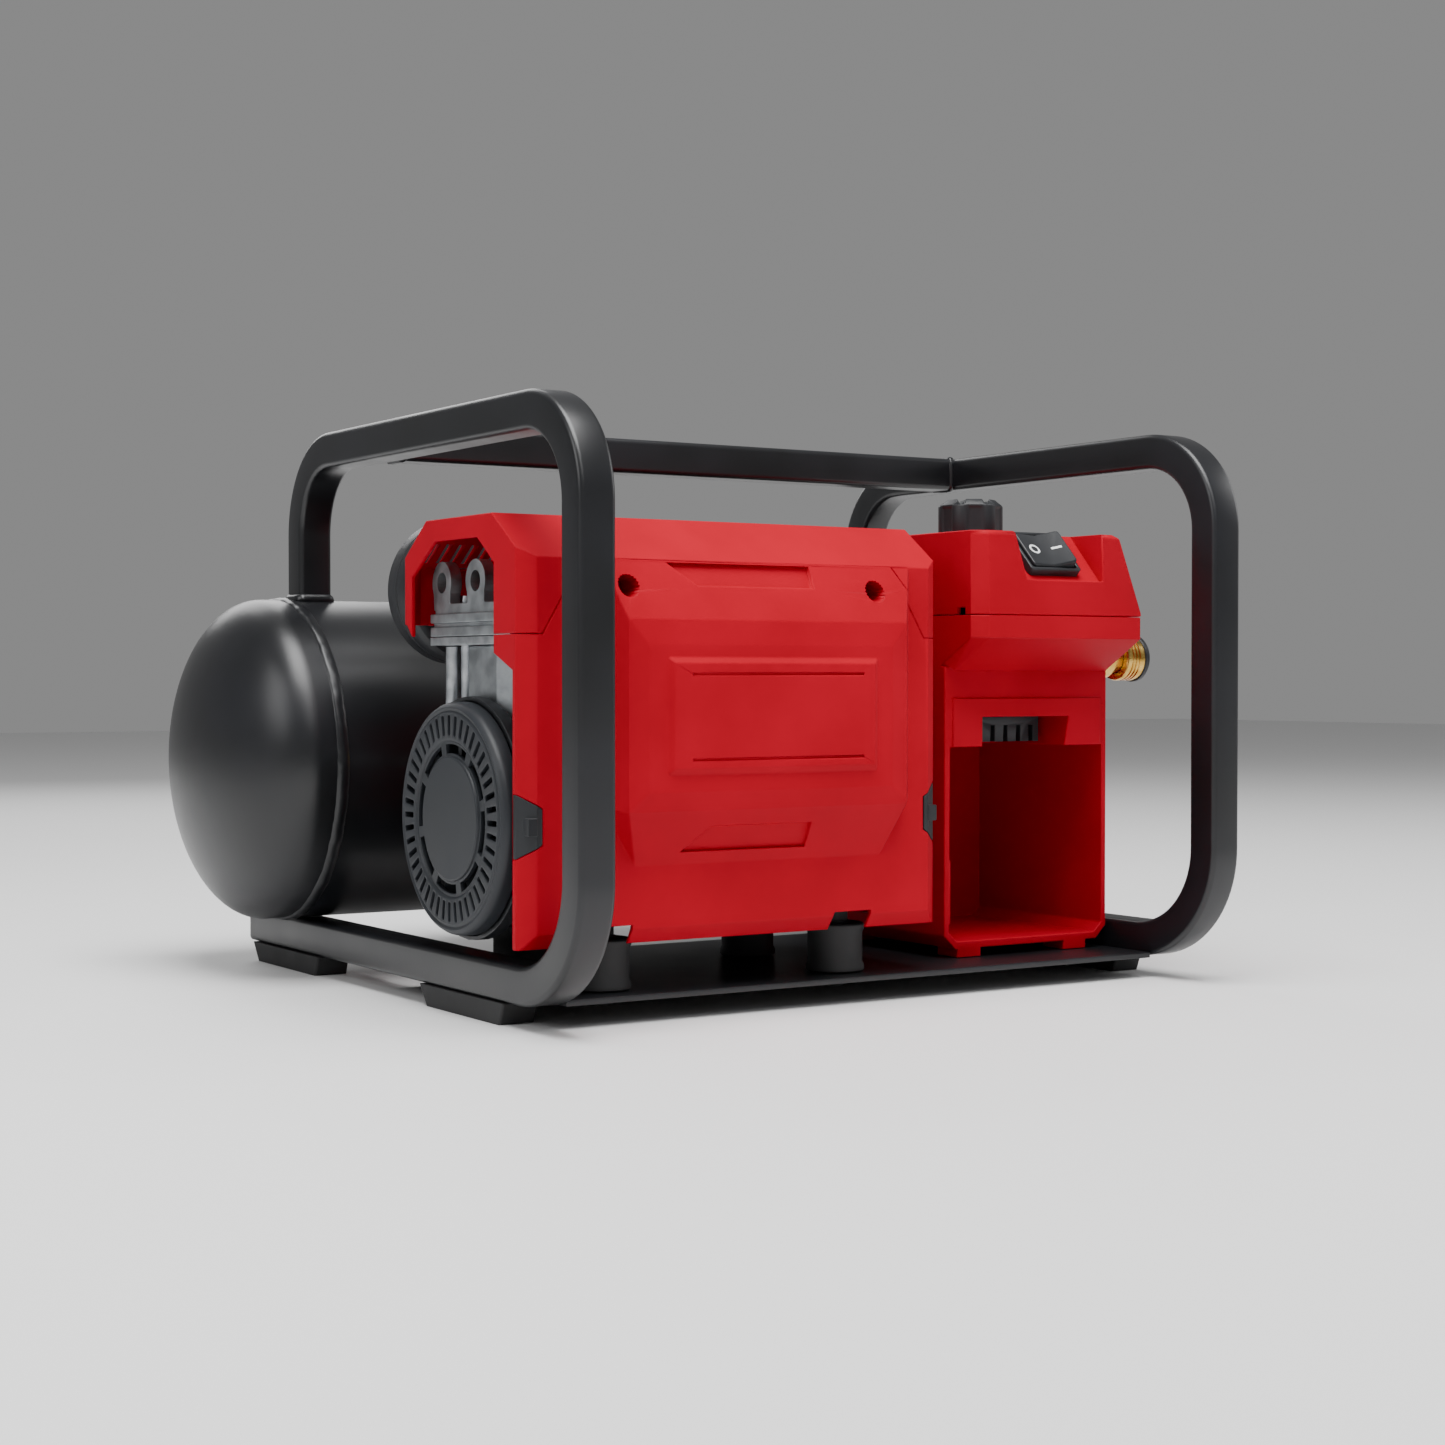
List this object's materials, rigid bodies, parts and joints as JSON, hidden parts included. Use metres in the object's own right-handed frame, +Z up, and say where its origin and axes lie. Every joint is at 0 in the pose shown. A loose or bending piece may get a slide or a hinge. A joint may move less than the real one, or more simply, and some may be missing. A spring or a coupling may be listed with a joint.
{
  "type": "air compressor",
  "caption": "Small cordless air compressor: tube hoops carry a receiver tank, a shrouded piston pump and a control box with gauges, knob, rocker switch and quick coupler.",
  "frame": {"origin": "middle of the floor under the compressor's bounding box", "axes": "+X along the tank towards the control box, +Y from the pump's front to the tank, +Z up"},
  "size_m": [0.5248, 0.4194, 0.297],
  "materials": {
    "black_paint": "satin black powder coat on steel",
    "black_plastic": "moulded black nylon, fine grain",
    "grey_plastic": "moulded dark grey ABS",
    "rubber": "moulded black rubber",
    "red_plastic": "moulded red ABS, satin",
    "cast_aluminium": "die-cast aluminium, as cast",
    "steel": "zinc-plated steel",
    "brass": "turned brass",
    "copper": "enamelled copper wire"
  },
  "bodies": {
    "body": {"left_hoop": "black_paint", "right_hoop": "black_paint", "handle_bar": "black_paint", "base_plate": "black_paint", "foot_front_left": "rubber", "foot_back_left": "rubber", "foot_front_right": "rubber", "foot_back_right": "rubber", "isolator_front_left": "rubber", "isolator_back_left": "rubber", "isolator_front_right": "rubber", "isolator_back_right": "rubber", "tank_barrel": "black_paint", "tank_head_left": "black_paint", "tank_head_right": "black_paint", "check_valve": "brass", "drain_valve_body": "brass", "relief_valve_body": "brass", "pump_bracket": "black_paint", "crankcase": "cast_aluminium", "cylinder": "cast_aluminium", "valve_plate": "steel", "cylinder_head": "cast_aluminium", "head_bolt_1": "steel", "head_bolt_2": "steel", "head_bolt_3": "steel", "head_bolt_4": "steel", "motor_case": "black_paint", "motor_stator": "copper", "bearing_crank": "steel", "bearing_motor": "steel", "fan_housing": "black_plastic", "fan_cover": "grey_plastic", "discharge_tube": "steel", "outlet_tube": "steel", "intake_filter": "black_plastic", "shroud_top": "red_plastic", "shroud_front": "red_plastic", "shroud_back": "red_plastic", "clip_left": "black_plastic", "clip_right": "black_plastic", "control_base": "red_plastic", "control_cover": "red_plastic", "terminal_block": "black_plastic", "manifold": "cast_aluminium", "tank_gauge": "black_plastic", "line_gauge": "black_plastic", "coupler_body": "brass"},
    "rotor": {"crankshaft": "steel", "motor_rotor": "steel", "cooling_fan": "grey_plastic"},
    "piston": {"piston_and_rod": "cast_aluminium", "piston_cup_seal": "rubber"},
    "rocker": {"rocker_switch": "black_plastic"},
    "knob": {"regulator_knob": "black_plastic"},
    "sleeve": {"coupler_sleeve": "brass"},
    "relief_pull": {"relief_valve_ring": "steel"},
    "drain_screw": {"drain_valve_knob": "brass"},
    "tank_needle": {"tank_gauge_needle": "black_plastic"},
    "line_needle": {"line_gauge_needle": "black_plastic"}
  },
  "joints": [
    {"name": "shaft_spin", "type": "hinge", "parent": "body", "child": "rotor", "pos_m": [0, -0.09375, 0.096], "axis": [1, 0, 0], "continuous": true},
    {"name": "piston_stroke", "type": "slide", "parent": "body", "child": "piston", "axis": [0, 0, 1], "range_m": [-0.01, 0]},
    {"name": "rocker_tilt", "type": "hinge", "parent": "body", "child": "rocker", "pos_m": [0.121, -0.14225, 0.2305], "axis": [0, 0.7071, 0.7071], "range_deg": [0, 14]},
    {"name": "regulator_turn", "type": "hinge", "parent": "body", "child": "knob", "pos_m": [0.107, -0.09775, 0.25], "axis": [0, 0, 1], "range_deg": [0, 810]},
    {"name": "sleeve_pull", "type": "slide", "parent": "body", "child": "sleeve", "axis": [-1, 0, 0], "range_m": [0, 0.006], "stiffness_N_per_m": 600},
    {"name": "relief_lift", "type": "slide", "parent": "body", "child": "relief_pull", "axis": [0, 0, 1], "range_m": [0, 0.003], "stiffness_N_per_m": 500},
    {"name": "drain_turn", "type": "hinge", "parent": "body", "child": "drain_screw", "pos_m": [0, 0.12125, 0.017], "axis": [0, 0, 1], "range_deg": [0, 450]},
    {"name": "tank_needle_swing", "type": "hinge", "parent": "body", "child": "tank_needle", "pos_m": [0.1722, -0.10575, 0.219], "axis": [-0.9287, 0, -0.3709], "range_deg": [0, 270], "stiffness_Nm_per_rad": 0.001},
    {"name": "line_needle_swing", "type": "hinge", "parent": "body", "child": "line_needle", "pos_m": [0.1722, -0.05975, 0.219], "axis": [-0.9287, 0, -0.3709], "range_deg": [0, 270], "stiffness_Nm_per_rad": 0.001}
  ]
}
